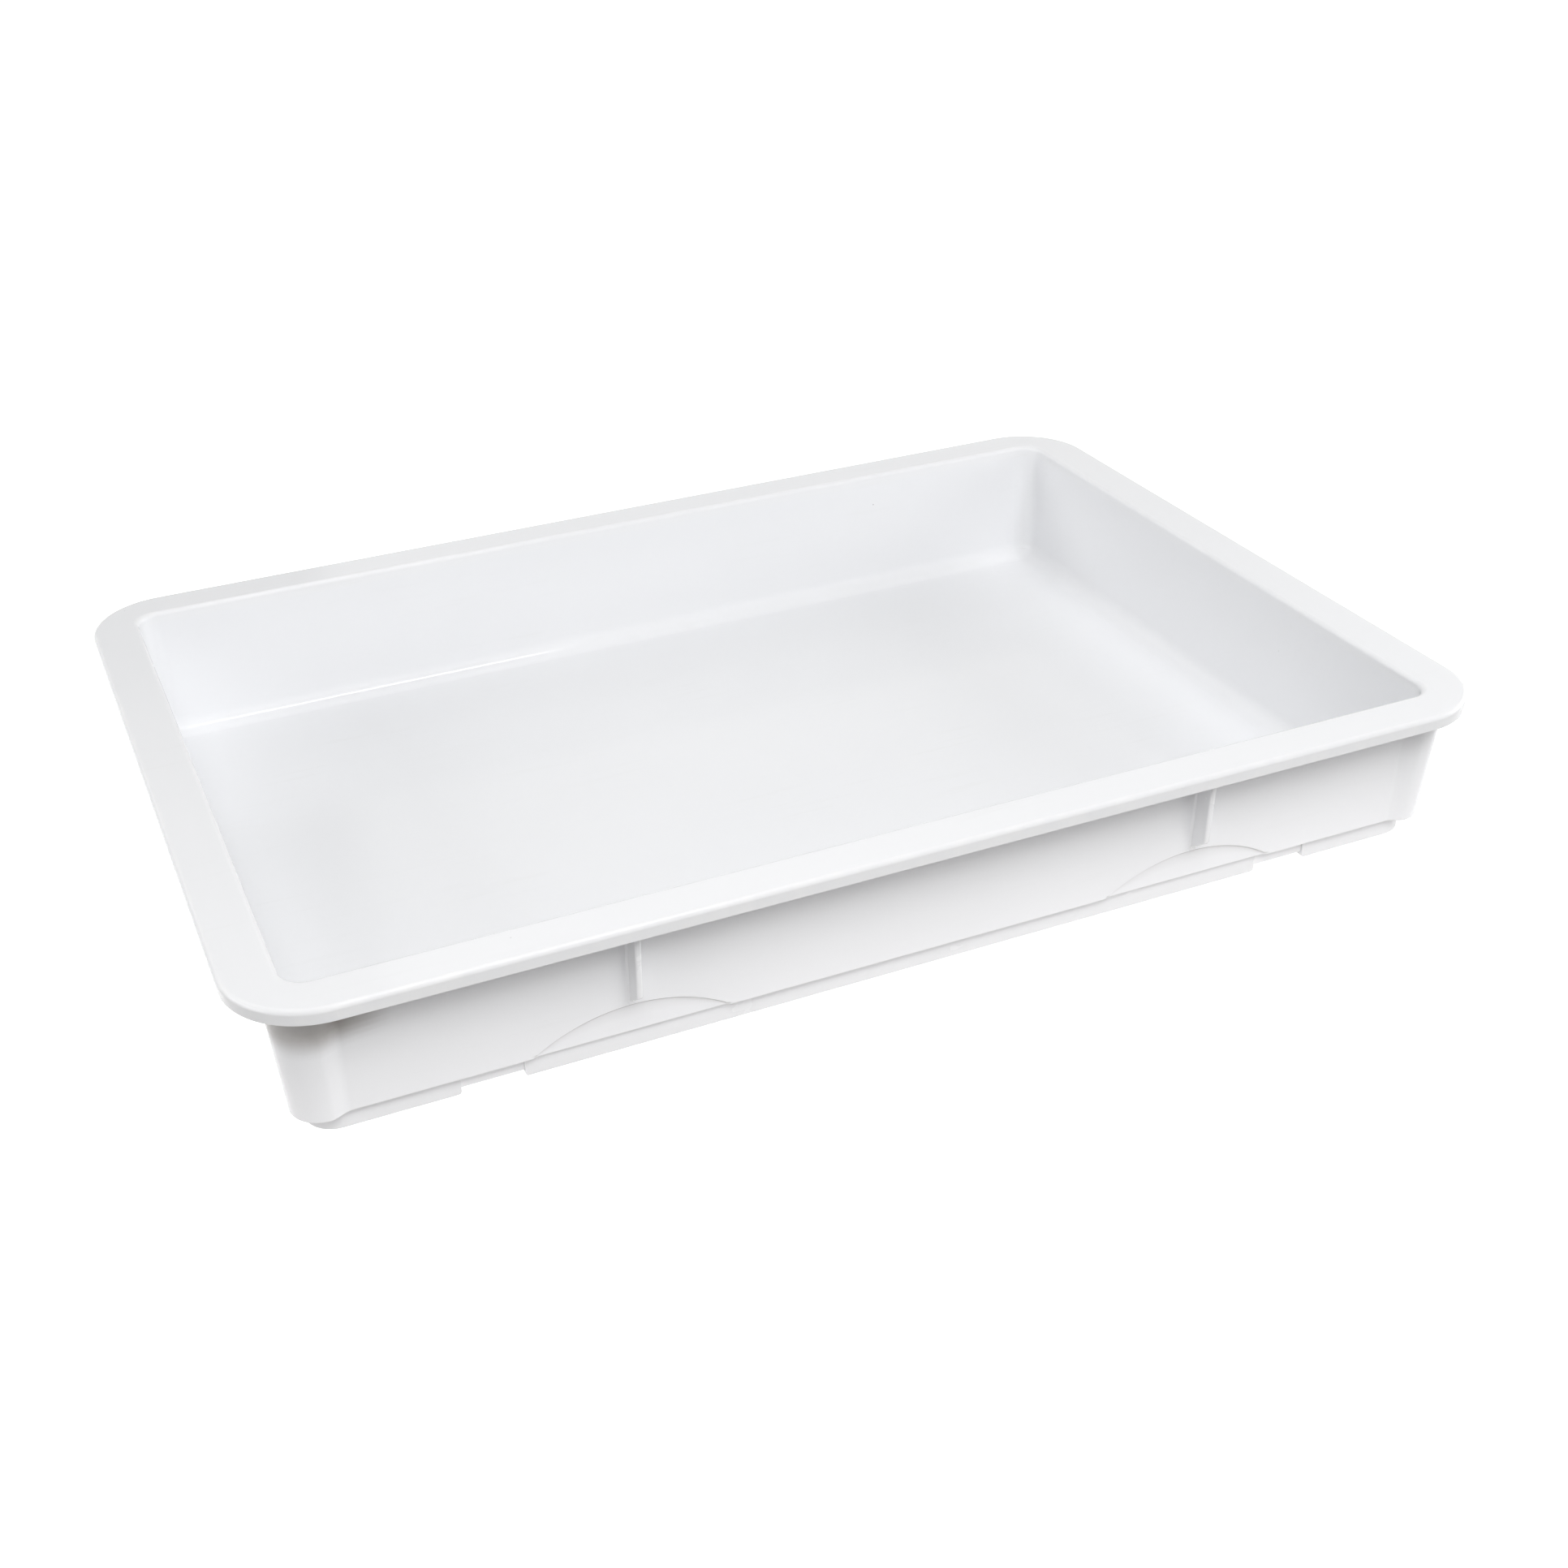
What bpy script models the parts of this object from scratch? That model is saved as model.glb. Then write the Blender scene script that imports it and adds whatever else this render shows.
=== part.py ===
"""Shallow open stacking tray with a flat rim flange, corner posts, gusset fins and foot rails.

Metres, +Z up, origin at the centre of the footprint on the resting plane.
X runs along the long side, -Y is the front long side.  The real tray is one
moulding: every node here is one functional member of it, kept as its own closed
solid with a hairline gap to its neighbours.
"""
import math

import bmesh
import bpy
from mathutils import Matrix, Vector

MM = 0.001

# ---------------------------------------------------------------- driving sizes
LENGTH = 660.0 * MM
WIDTH = 457.2 * MM
HEIGHT = 84.2 * MM
GAP = 0.3 * MM                    # clearance between neighbouring members

# rim flange
RIM_CORNER_R = 43.0 * MM
RIM_EDGE_R = 3.6 * MM             # rounding of the outer top edge
RIM_THICK = 3.0 * MM
LIP_DEPTH = 8.0 * MM
LIP_THICK = 2.6 * MM
OPEN_X = 306.1 * MM               # half opening where the flat top ends
OPEN_Y = 206.7 * MM
OPEN_EDGE_R = 2.4 * MM            # rounding from the flat top into the basin
OPEN_CORNER_R = 13.0 * MM

# basin
INNER_DRAFT = 0.035
FLOOR_TOP_Z = 5.4 * MM
FLOOR_UNDER_Z = 2.9 * MM
FLOOR_FILLET_R = 10.0 * MM

# outer wall
LEDGE_Z = 10.7 * MM               # bottom edge of the outer wall
PANEL_X = 306.2 * MM              # half size of the recessed panels at the ledge
PANEL_Y = 206.9 * MM
PANEL_DRAFT = 0.05
POST_PROUD = 3.5 * MM             # corner posts stand this far out of the panels
POST_DRAFT = 0.07
POST_CORNER_R = 15.7 * MM
WALL_SPLIT_Z = 77.7 * MM          # top of the wall members, rim members above
LEDGE_EDGE_R = 0.9 * MM
POST_CUT_X = 284.0 * MM           # where the long panels end and the posts begin
POST_CUT_Y = 158.0 * MM           # where the short panels end and the posts begin
RIM_CUT_X = 284.0 * MM
RIM_CUT_Y = 182.0 * MM

# plinth (lower part of the wall, set in) and foot rails
FOOT_X = 303.0 * MM
FOOT_Y = 203.7 * MM
FOOT_CORNER_R = 15.4 * MM
FOOT_FACE_T = 0.9 * MM
FOOT_WIDTH = 8.0 * MM
FOOT_END_R = 2.2 * MM
MID_FOOT_HALF = 202.0 * MM
CORNER_FOOT_X = 232.7 * MM
SIDE_FOOT_HALF = 104.0 * MM
CORNER_FOOT_Y = 134.7 * MM

# gusset fins under the flange and half-moon recesses below them
FIN_X = (-148.9 * MM, 158.2 * MM)  # along the front; the back is turned half a turn
FIN_THICK = 3.2 * MM
FIN_REACH_TOP = 221.8 * MM
FIN_REACH_LOW = 219.6 * MM
FIN_SHOULDER_Z = 38.2 * MM
FIN_TIP_Z = 28.6 * MM
MOON_RISE = 16.2 * MM
MOON_HALF = 50.0 * MM
MOON_DEPTH = 1.2 * MM

# sampling
ARC_STEPS = 12
STEP_STATIONS = 6

# ---------------------------------------------------------------- derived sizes
HALF_X = LENGTH / 2.0
HALF_Y = WIDTH / 2.0
WALL_TOP_X = OPEN_X - OPEN_EDGE_R
WALL_TOP_Y = OPEN_Y - OPEN_EDGE_R
PLINTH_X = FOOT_X - FOOT_FACE_T - GAP
PLINTH_Y = FOOT_Y - FOOT_FACE_T - GAP
FILLET_TOP_Z = FLOOR_TOP_Z + FLOOR_FILLET_R
FOOT_TOP_Z = LEDGE_Z - GAP
FOOT_BAR_Z = FLOOR_UNDER_Z - GAP
RIM_ROOT_Z = WALL_SPLIT_Z + GAP
PLINTH_CORNER_R = FOOT_CORNER_R - FOOT_FACE_T - GAP


def clear_scene():
    """Remove everything that is in the file at the start."""
    for obj in list(bpy.data.objects):
        bpy.data.objects.remove(obj, do_unlink=True)


def make_material(name, colour, roughness):
    """Plain moulded plastic."""
    mat = bpy.data.materials.new(name)
    mat.use_nodes = True
    bsdf = mat.node_tree.nodes["Principled BSDF"]
    bsdf.inputs["Base Color"].default_value = (*colour, 1.0)
    bsdf.inputs["Roughness"].default_value = roughness
    bsdf.inputs["Metallic"].default_value = 0.0
    return mat


def finish_mesh(name, bm, material):
    """Turn a bmesh into a named object with outward faces."""
    bmesh.ops.remove_doubles(bm, verts=bm.verts, dist=0.00001)
    bmesh.ops.recalc_face_normals(bm, faces=bm.faces)
    if bm.calc_volume(signed=True) < 0.0:
        bmesh.ops.reverse_faces(bm, faces=bm.faces)
    mesh = bpy.data.meshes.new(name)
    bm.to_mesh(mesh)
    bm.free()
    mesh.materials.append(material)
    obj = bpy.data.objects.new(name, mesh)
    bpy.context.scene.collection.objects.link(obj)
    return obj


def sweep(name, stations, material):
    """Closed solid through a list of equal-length closed polygons."""
    bm = bmesh.new()
    rows = [[bm.verts.new(Vector(p)) for p in poly] for poly in stations]
    count = len(rows[0])
    for row_a, row_b in zip(rows, rows[1:]):
        for i in range(count):
            j = (i + 1) % count
            bm.faces.new((row_a[i], row_a[j], row_b[j], row_b[i]))
    bm.faces.new(list(reversed(rows[0])))
    bm.faces.new(rows[-1])
    return finish_mesh(name, bm, material)


def arc_points(cx, cz, radius, start_deg, end_deg, steps):
    """Points on an arc in a section plane."""
    points = []
    for i in range(steps + 1):
        a = math.radians(start_deg + (end_deg - start_deg) * i / steps)
        points.append((cx + radius * math.cos(a), cz + radius * math.sin(a)))
    return points


# ---------------------------------------------------------------- section outlines
# Each section vertex is (half x, half y, corner radius, z, post weight).

def both(inset, radius, z, base_x, base_y, weight=0.0):
    """Section vertex set in from a base size by the same amount on both axes."""
    return (base_x - inset, base_y - inset, max(radius, 1.5 * MM), z, weight)


def wall_section():
    """Outline of the wall member: basin face, floor fillet, plinth, ledge, panel."""
    outline = []
    for z in (WALL_SPLIT_Z, FILLET_TOP_Z):
        inset = (HEIGHT - OPEN_EDGE_R - z) * INNER_DRAFT
        outline.append(both(inset, OPEN_CORNER_R - inset, z, WALL_TOP_X, WALL_TOP_Y))
    base_inset = (HEIGHT - OPEN_EDGE_R - FILLET_TOP_Z) * INNER_DRAFT
    for d, z in arc_points(0.0, FILLET_TOP_Z, FLOOR_FILLET_R, 0.0, -90.0, 6)[1:]:
        inset = base_inset + FLOOR_FILLET_R - d
        outline.append(both(inset, OPEN_CORNER_R - inset, z, WALL_TOP_X, WALL_TOP_Y))
    inset = base_inset + FLOOR_FILLET_R
    outline.append(both(inset, OPEN_CORNER_R - inset, FLOOR_UNDER_Z, WALL_TOP_X, WALL_TOP_Y))
    chamfer = 1.0 * MM
    outline.append(both(chamfer, PLINTH_CORNER_R, FLOOR_UNDER_Z, PLINTH_X, PLINTH_Y))
    outline.append(both(0.0, PLINTH_CORNER_R, FLOOR_UNDER_Z + chamfer, PLINTH_X, PLINTH_Y))
    outline.append(both(0.0, PLINTH_CORNER_R, LEDGE_Z, PLINTH_X, PLINTH_Y))
    for d, z in arc_points(0.0, LEDGE_Z + LEDGE_EDGE_R, LEDGE_EDGE_R, -90.0, 0.0, 3):
        outline.append(both(LEDGE_EDGE_R - d, POST_CORNER_R, z, PANEL_X, PANEL_Y, 1.0))
    top_out = -(WALL_SPLIT_Z - LEDGE_Z) * PANEL_DRAFT
    outline.append(both(top_out, POST_CORNER_R - top_out, WALL_SPLIT_Z, PANEL_X, PANEL_Y, 1.0))
    return outline


def rim_section():
    """Outline of the rim member: root on the wall, flat flange, outer lip."""
    root_inset = (HEIGHT - OPEN_EDGE_R - RIM_ROOT_Z) * INNER_DRAFT
    outline = [both(root_inset, OPEN_CORNER_R - root_inset, RIM_ROOT_Z, WALL_TOP_X, WALL_TOP_Y)]
    centre_z = HEIGHT - OPEN_EDGE_R
    for d, z in arc_points(0.0, centre_z, OPEN_EDGE_R, 180.0, 90.0, 4):
        inset = -d
        outline.append(both(inset, OPEN_CORNER_R, z, OPEN_X, OPEN_Y))
    for d, z in arc_points(0.0, HEIGHT - RIM_EDGE_R, RIM_EDGE_R, 90.0, 0.0, 5):
        inset = RIM_EDGE_R - d
        outline.append(both(inset, RIM_CORNER_R - inset, z, HALF_X, HALF_Y))
    lip_z = HEIGHT - LIP_DEPTH
    outline.append(both(0.0, RIM_CORNER_R, lip_z, HALF_X, HALF_Y))
    outline.append(both(LIP_THICK, RIM_CORNER_R - LIP_THICK, lip_z, HALF_X, HALF_Y))
    under_z = HEIGHT - RIM_THICK
    outline.append(both(LIP_THICK, RIM_CORNER_R - LIP_THICK, under_z, HALF_X, HALF_Y))
    root_out = -(WALL_SPLIT_Z - LEDGE_Z) * PANEL_DRAFT
    for z in (under_z, RIM_ROOT_Z):
        outline.append(both(root_out, POST_CORNER_R, z, PANEL_X, PANEL_Y))
    return outline


def foot_section():
    """Outline of a foot rail: bar under the plinth with a thin face up its side."""
    inner = FOOT_WIDTH
    bevel = 0.8 * MM
    face = FOOT_FACE_T
    radius = FOOT_CORNER_R
    return [
        both(inner, radius - inner, FOOT_BAR_Z, FOOT_X, FOOT_Y),
        both(inner, radius - inner, bevel, FOOT_X, FOOT_Y),
        both(inner - bevel, radius - inner + bevel, 0.0, FOOT_X, FOOT_Y),
        both(bevel, radius - bevel, 0.0, FOOT_X, FOOT_Y),
        both(0.0, radius, bevel, FOOT_X, FOOT_Y),
        both(0.0, radius, FOOT_TOP_Z, FOOT_X, FOOT_Y),
        both(face, radius - face, FOOT_TOP_Z, FOOT_X, FOOT_Y),
        both(face, radius - face, FOOT_BAR_Z, FOOT_X, FOOT_Y),
    ]


# ---------------------------------------------------------------- sweeps of a section

def side_member(name, section, axis, sign, half, material):
    """Straight member along one side of the tray."""
    stations = []
    for end in (-half, half):
        poly = []
        for hx, hy, _radius, z, _weight in section:
            if axis == "x":
                poly.append((end, sign * hy, z))
            else:
                poly.append((sign * hx, end, z))
        stations.append(poly)
    return sweep(name, stations, material)


def smooth(t):
    """Smooth step between 0 and 1."""
    return t * t * (3.0 - 2.0 * t)


def corner_path(vertex, cut_x, cut_y):
    """Points of one section vertex around the +X +Y corner, from cut_x to cut_y."""
    hx, hy, radius, z, weight = vertex
    proud = weight * (POST_PROUD + (POST_DRAFT - PANEL_DRAFT) * max(z - LEDGE_Z, 0.0))
    cx = hx + proud - radius
    cy = hy + proud - radius
    points = []
    for i in range(STEP_STATIONS):
        t = i / STEP_STATIONS
        points.append((cut_x + (cx - cut_x) * t, hy + proud * smooth(t), z))
    for i in range(ARC_STEPS + 1):
        a = math.pi / 2.0 * (1.0 - i / ARC_STEPS)
        points.append((cx + radius * math.cos(a), cy + radius * math.sin(a), z))
    for i in range(1, STEP_STATIONS + 1):
        t = i / STEP_STATIONS
        points.append((hx + proud * (1.0 - smooth(t)), cy + (cut_y - cy) * t, z))
    return points


def corner_member(name, section, cut_x, cut_y, sx, sy, material):
    """Member around one corner; sx and sy choose the corner."""
    paths = [corner_path(v, cut_x, cut_y) for v in section]
    stations = []
    for i in range(len(paths[0])):
        stations.append([(sx * path[i][0], sy * path[i][1], path[i][2]) for path in paths])
    return sweep(name, stations, material)


# ---------------------------------------------------------------- modifiers

def apply_modifiers(obj):
    """Bake the modifier stack of one object into its mesh."""
    bpy.context.view_layer.update()
    graph = bpy.context.evaluated_depsgraph_get()
    mesh = bpy.data.meshes.new_from_object(obj.evaluated_get(graph))
    old = obj.data
    obj.modifiers.clear()
    obj.data = mesh
    mesh.name = obj.name
    bpy.data.meshes.remove(old)


def cut_with(target, cutter):
    """Exact Boolean difference; the cutter is removed afterwards."""
    cutter.hide_render = True
    cutter.display_type = "WIRE"
    mod = target.modifiers.new("cut_" + cutter.name, "BOOLEAN")
    mod.operation = "DIFFERENCE"
    mod.solver = "EXACT"
    mod.object = cutter
    apply_modifiers(target)
    bpy.data.objects.remove(cutter, do_unlink=True)


def bevel_edges(obj, width, segments):
    """Round the sharp edges of a small member."""
    mod = obj.modifiers.new("edge_round", "BEVEL")
    mod.width = width
    mod.segments = segments
    mod.limit_method = "ANGLE"
    mod.angle_limit = math.radians(40.0)
    apply_modifiers(obj)


# ---------------------------------------------------------------- small members

def panel_face_y(z):
    """Outer face of the long panels at a height."""
    return PANEL_Y + (z - LEDGE_Z) * PANEL_DRAFT


def gusset_fin(name, x, sign, material):
    """Upright fin between the panel and the underside of the flange."""
    top_z = HEIGHT - RIM_THICK - GAP
    outline = [
        (panel_face_y(top_z) + GAP, top_z),
        (FIN_REACH_TOP, top_z),
        (FIN_REACH_LOW, FIN_SHOULDER_Z),
        (panel_face_y(FIN_TIP_Z) + GAP + 0.6 * MM, FIN_TIP_Z),
        (panel_face_y(FIN_TIP_Z) + GAP, FIN_TIP_Z),
    ]
    stations = []
    for offset in (-FIN_THICK / 2.0, FIN_THICK / 2.0):
        stations.append([(x + offset, sign * y, z) for y, z in outline])
    fin = sweep(name, stations, material)
    bevel_edges(fin, 0.35 * MM, 2)
    return fin


def moon_cutter(x, sign):
    """Circular-segment prism that leaves a shallow half-moon in a long panel."""
    radius = (MOON_HALF ** 2 + MOON_RISE ** 2) / (2.0 * MOON_RISE)
    centre_z = LEDGE_Z + MOON_RISE - radius
    half_angle = math.degrees(math.asin(min(1.0, (MOON_HALF + 3.0 * MM) / radius)))
    arc = arc_points(x, centre_z, radius, 90.0 - half_angle, 90.0 + half_angle, 28)
    low_z = LEDGE_Z - 1.5 * MM
    outline = [(px, pz) for px, pz in arc if pz > low_z]
    outline.append((outline[-1][0], low_z))
    outline.append((outline[0][0], low_z))
    stations = []
    for far in (False, True):
        poly = []
        for px, pz in outline:
            face = panel_face_y(max(pz, LEDGE_Z)) - MOON_DEPTH
            poly.append((px, sign * (PANEL_Y + 20.0 * MM if far else face), pz))
        stations.append(poly)
    bm = bmesh.new()
    rows = [[bm.verts.new(Vector(p)) for p in poly] for poly in stations]
    count = len(rows[0])
    for i in range(count):
        j = (i + 1) % count
        bm.faces.new((rows[0][i], rows[0][j], rows[1][j], rows[1][i]))
    for row in rows:
        face = bm.faces.new(row)
        bmesh.ops.triangulate(bm, faces=[face])
    return finish_mesh("moon_cutter", bm, PLASTIC["wall"])


def end_rounding_cutter(x, sign, axis, outward):
    """Small block with a concave quarter that rounds the lower end of a foot rail."""
    r = FOOT_END_R
    quarter = arc_points(x - outward * r, r, r, -90.0, 0.0, 6)
    outline = [(x + outward * 2.0 * MM, -2.0 * MM), (x - outward * r, -2.0 * MM)]
    if outward > 0:
        outline += [(u, z) for u, z in quarter]
    else:
        outline += [(2.0 * (x + r) - u, z) for u, z in quarter]
    outline.append((x + outward * 2.0 * MM, r))
    lo = FOOT_Y - FOOT_WIDTH - 2.0 * MM if axis == "x" else FOOT_X - FOOT_WIDTH - 2.0 * MM
    hi = FOOT_Y + 2.0 * MM if axis == "x" else FOOT_X + 2.0 * MM
    stations = []
    for depth in (lo, hi):
        if axis == "x":
            stations.append([(u, sign * depth, z) for u, z in outline])
        else:
            stations.append([(sign * depth, u, z) for u, z in outline])
    return sweep("end_cutter", stations, PLASTIC["foot"])


def floor_plate(name, material):
    """Flat floor with rounded corners and a slightly beveled underside edge."""
    base_inset = (HEIGHT - OPEN_EDGE_R - FILLET_TOP_Z) * INNER_DRAFT + FLOOR_FILLET_R + GAP
    hx = WALL_TOP_X - base_inset
    hy = WALL_TOP_Y - base_inset
    radius = 1.2 * MM
    stations = []
    for z in (FLOOR_UNDER_Z, FLOOR_TOP_Z):
        poly = []
        for sx, sy, start in ((1, 1, 0.0), (-1, 1, 90.0), (-1, -1, 180.0), (1, -1, 270.0)):
            cx = sx * (hx - radius)
            cy = sy * (hy - radius)
            for px, py in arc_points(cx, cy, radius, start, start + 90.0, 4):
                poly.append((px, py, z))
        stations.append(poly)
    return sweep(name, stations, material)


# ---------------------------------------------------------------- assembly

def build():
    """Create every member of the tray."""
    walls = wall_section()
    rims = rim_section()
    feet = foot_section()
    half_gap = GAP / 2.0

    floor_plate("floor_pan", PLASTIC["floor"])

    for label, axis, sign in (("front", "x", -1), ("back", "x", 1),
                              ("left", "y", -1), ("right", "y", 1)):
        wall_half = (POST_CUT_X if axis == "x" else POST_CUT_Y) - half_gap
        rim_half = (RIM_CUT_X if axis == "x" else RIM_CUT_Y) - half_gap
        foot_half = MID_FOOT_HALF if axis == "x" else SIDE_FOOT_HALF
        wall = side_member("wall_" + label, walls, axis, sign, wall_half, PLASTIC["wall"])
        if axis == "x":
            for x in FIN_X:
                cut_with(wall, moon_cutter(-sign * x, sign))
        side_member("rim_" + label, rims, axis, sign, rim_half, PLASTIC["rim"])
        foot = side_member("foot_mid_" + label, feet, axis, sign, foot_half, PLASTIC["foot"])
        for outward in (-1, 1):
            cut_with(foot, end_rounding_cutter(outward * foot_half, sign, axis, outward))

    for x_label, sx in (("left", -1), ("right", 1)):
        for y_label, sy in (("front", -1), ("back", 1)):
            label = y_label + "_" + x_label
            corner_member("corner_post_" + label, walls, POST_CUT_X + half_gap,
                          POST_CUT_Y + half_gap, sx, sy, PLASTIC["wall"])
            corner_member("rim_corner_" + label, rims, RIM_CUT_X + half_gap,
                          RIM_CUT_Y + half_gap, sx, sy, PLASTIC["rim"])
            foot = corner_member("foot_corner_" + label, feet, CORNER_FOOT_X,
                                 CORNER_FOOT_Y, sx, sy, PLASTIC["foot"])
            cut_with(foot, end_rounding_cutter(sx * CORNER_FOOT_X, sy, "x", -sx))
            cut_with(foot, end_rounding_cutter(sy * CORNER_FOOT_Y, sx, "y", -sy))

    for label, sign in (("front", -1), ("back", 1)):
        for i, x in enumerate(FIN_X):
            gusset_fin(f"gusset_{label}_{i + 1}", -sign * x, sign, PLASTIC["gusset"])


clear_scene()
PLASTIC = {
    "floor": make_material("tray_floor_plastic", (0.84, 0.85, 0.86), 0.34),
    "wall": make_material("tray_wall_plastic", (0.83, 0.84, 0.85), 0.36),
    "rim": make_material("tray_rim_plastic", (0.85, 0.86, 0.87), 0.30),
    "foot": make_material("tray_foot_plastic", (0.81, 0.82, 0.83), 0.42),
    "gusset": make_material("tray_gusset_plastic", (0.82, 0.83, 0.84), 0.38),
}
build()
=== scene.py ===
"""Looks of the white stacking tray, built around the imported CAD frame.

Metres, +Z up, X along the long side, -Y is the front.  The outside sizes come
from the boxes of the CAD nodes.  The CAD members are hairline-split parts of one
moulding; here they are replaced by three nested shells (floor, wall, rim) that
meet without a gap, four gusset fins and eight foot rails.
"""
import math

import bmesh
import bpy
from mathutils import Matrix, Vector


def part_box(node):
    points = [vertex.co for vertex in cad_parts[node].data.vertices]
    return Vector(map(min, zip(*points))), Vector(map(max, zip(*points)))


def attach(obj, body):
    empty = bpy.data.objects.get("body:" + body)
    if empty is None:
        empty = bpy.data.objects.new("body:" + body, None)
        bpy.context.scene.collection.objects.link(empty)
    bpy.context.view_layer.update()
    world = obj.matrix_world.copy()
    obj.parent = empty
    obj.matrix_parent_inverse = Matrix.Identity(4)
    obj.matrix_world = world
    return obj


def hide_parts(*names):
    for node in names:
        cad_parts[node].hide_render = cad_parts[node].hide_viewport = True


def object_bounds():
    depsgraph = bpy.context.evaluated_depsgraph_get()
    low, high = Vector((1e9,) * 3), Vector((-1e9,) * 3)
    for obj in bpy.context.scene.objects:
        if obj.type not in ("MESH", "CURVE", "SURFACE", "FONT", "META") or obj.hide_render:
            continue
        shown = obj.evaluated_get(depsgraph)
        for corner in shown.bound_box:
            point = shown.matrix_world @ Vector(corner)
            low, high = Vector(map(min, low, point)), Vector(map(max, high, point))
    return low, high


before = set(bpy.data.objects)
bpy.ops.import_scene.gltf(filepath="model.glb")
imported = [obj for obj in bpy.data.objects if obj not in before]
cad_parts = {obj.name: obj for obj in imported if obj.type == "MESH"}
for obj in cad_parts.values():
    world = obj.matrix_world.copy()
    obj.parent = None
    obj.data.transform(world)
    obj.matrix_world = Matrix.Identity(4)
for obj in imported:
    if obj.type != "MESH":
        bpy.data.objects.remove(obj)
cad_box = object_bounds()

MM = 0.001

# ---------------------------------------------------------------- sizes read from the CAD boxes
HALF_X = cad_box[1].x
HALF_Y = cad_box[1].y
TOP_Z = cad_box[1].z
HAIRLINE = 0.3 * MM                                   # gap between CAD members
LEDGE_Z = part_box("foot_mid_front")[1].z + HAIRLINE    # bottom edge of the outer wall
SPLIT_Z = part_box("wall_front")[1].z                   # where the rim shell takes over
UNDER_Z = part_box("floor_pan")[0].z
FLOOR_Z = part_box("floor_pan")[1].z
FLAT_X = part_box("floor_pan")[1].x + HAIRLINE          # where the floor fillet begins
FLAT_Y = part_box("floor_pan")[1].y + HAIRLINE
CUT_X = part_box("wall_front")[1].x                     # long panels end, posts begin
CUT_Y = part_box("wall_right")[1].y
PANEL_TOP_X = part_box("wall_right")[1].x
PANEL_TOP_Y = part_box("wall_back")[1].y
POST_TOP_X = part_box("corner_post_back_right")[1].x
FOOT_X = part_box("foot_mid_right")[1].x
FOOT_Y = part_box("foot_mid_back")[1].y
FOOT_MID_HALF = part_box("foot_mid_front")[1].x
FOOT_SIDE_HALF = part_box("foot_mid_right")[1].y
FOOT_CORNER_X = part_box("foot_corner_back_right")[0].x
FOOT_CORNER_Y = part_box("foot_corner_back_right")[0].y

# ---------------------------------------------------------------- moulding details
INNER_DRAFT = 0.035
FILLET_R = 10.0 * MM
OPEN_EDGE_R = 2.4 * MM
OPEN_CORNER_R = 13.0 * MM
RIM_CORNER_R = 43.0 * MM
RIM_EDGE_R = 2.4 * MM
RIM_THICK = 3.0 * MM
LIP_DEPTH = 8.0 * MM
LIP_THICK = 2.6 * MM
LIP_EDGE_R = 0.6 * MM
LIP_DRAFT = 0.3 * MM
LIP_ROOT_R = 1.0 * MM              # concave fillet between lip and flange
ROOT_R = 2.0 * MM                  # concave fillet between flange and wall
PANEL_DRAFT = 0.05
POST_DRAFT = 0.07
POST_CORNER_R = 15.7 * MM
PLINTH_IN = 1.2 * MM               # plinth face behind the face of the foot rails
PLINTH_CORNER_R = 14.2 * MM
PLINTH_EDGE_R = 1.0 * MM
LEDGE_EDGE_R = 0.9 * MM
MOON_HALF = 50.0 * MM
MOON_RISE = 16.2 * MM
MOON_DEPTH = 1.2 * MM
MOON_STEP = 0.75 * MM              # half height of the step along the recess's arc
MOON_PAINTED_SHADE = 0.60                   # painted shade in the corner at the top of the recess
SHADE_LINE_OFFSET = -0.45                # where that painted shade is darkest, in half steps
SHADE_LINE_WIDTH = 0.75                  # and how far it reaches
MOON_LOWEST = 1.7 * MM             # the arc's rows never come closer to the ledge
SUPPORT = 0.35 * MM                # distance of the rows that hold a flat face flat
MIN_CORNER_R = 1.5 * MM
FLOOR_STRIP = 3.0 * MM             # flat strip that belongs to the wall shell
PAINTED_SHADE_DEPTH = 30.0 * MM            # how far the painted shade under the flange reaches down
PAINTED_SHADE_FADE = 24.0 * MM             # and how far from the front left post it thins out
PAINTED_SHADE_STEPS = 10
PAINTED_SHADE_TRACE = 0.03                 # painted shade under the rest of the flange, as a share
SMOOTH_DEG = 38.0                  # edges sharper than this are shaded as edges

WALL_TOP_Z = TOP_Z - OPEN_EDGE_R
FILLET_TOP_Z = FLOOR_Z + FILLET_R
BASE_INSET = (WALL_TOP_Z - FILLET_TOP_Z) * INNER_DRAFT
WALL_TOP_X = FLAT_X + BASE_INSET + FILLET_R
WALL_TOP_Y = FLAT_Y + BASE_INSET + FILLET_R
OPEN_X = WALL_TOP_X + OPEN_EDGE_R
OPEN_Y = WALL_TOP_Y + OPEN_EDGE_R
PANEL_X = PANEL_TOP_X - (SPLIT_Z - LEDGE_Z) * PANEL_DRAFT
PANEL_Y = PANEL_TOP_Y - (SPLIT_Z - LEDGE_Z) * PANEL_DRAFT
MOON_CLEAR_Z = LEDGE_Z + MOON_RISE + 6.0 * MM         # panel is plain from here up
POST_PROUD = POST_TOP_X - PANEL_TOP_X - (POST_DRAFT - PANEL_DRAFT) * (SPLIT_Z - LEDGE_Z)

# outlines that rows are moved inwards from: half sizes and corner radius
BASIN = (WALL_TOP_X, WALL_TOP_Y, OPEN_CORNER_R)
PLINTH = (FOOT_X - PLINTH_IN, FOOT_Y - PLINTH_IN, PLINTH_CORNER_R)
RIM = (HALF_X, HALF_Y, RIM_CORNER_R)

FINS = ("gusset_front_1", "gusset_front_2", "gusset_back_1", "gusset_back_2")


def fin_centre(node):
    """X of the middle of a fin and the side it is on (-1 front, 1 back)."""
    lo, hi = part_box(node)
    side = -1.0 if hi.y < 0.0 else 1.0
    return (lo.x + hi.x) / 2.0, side


MOONS = [fin_centre(node) for node in FINS]


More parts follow.
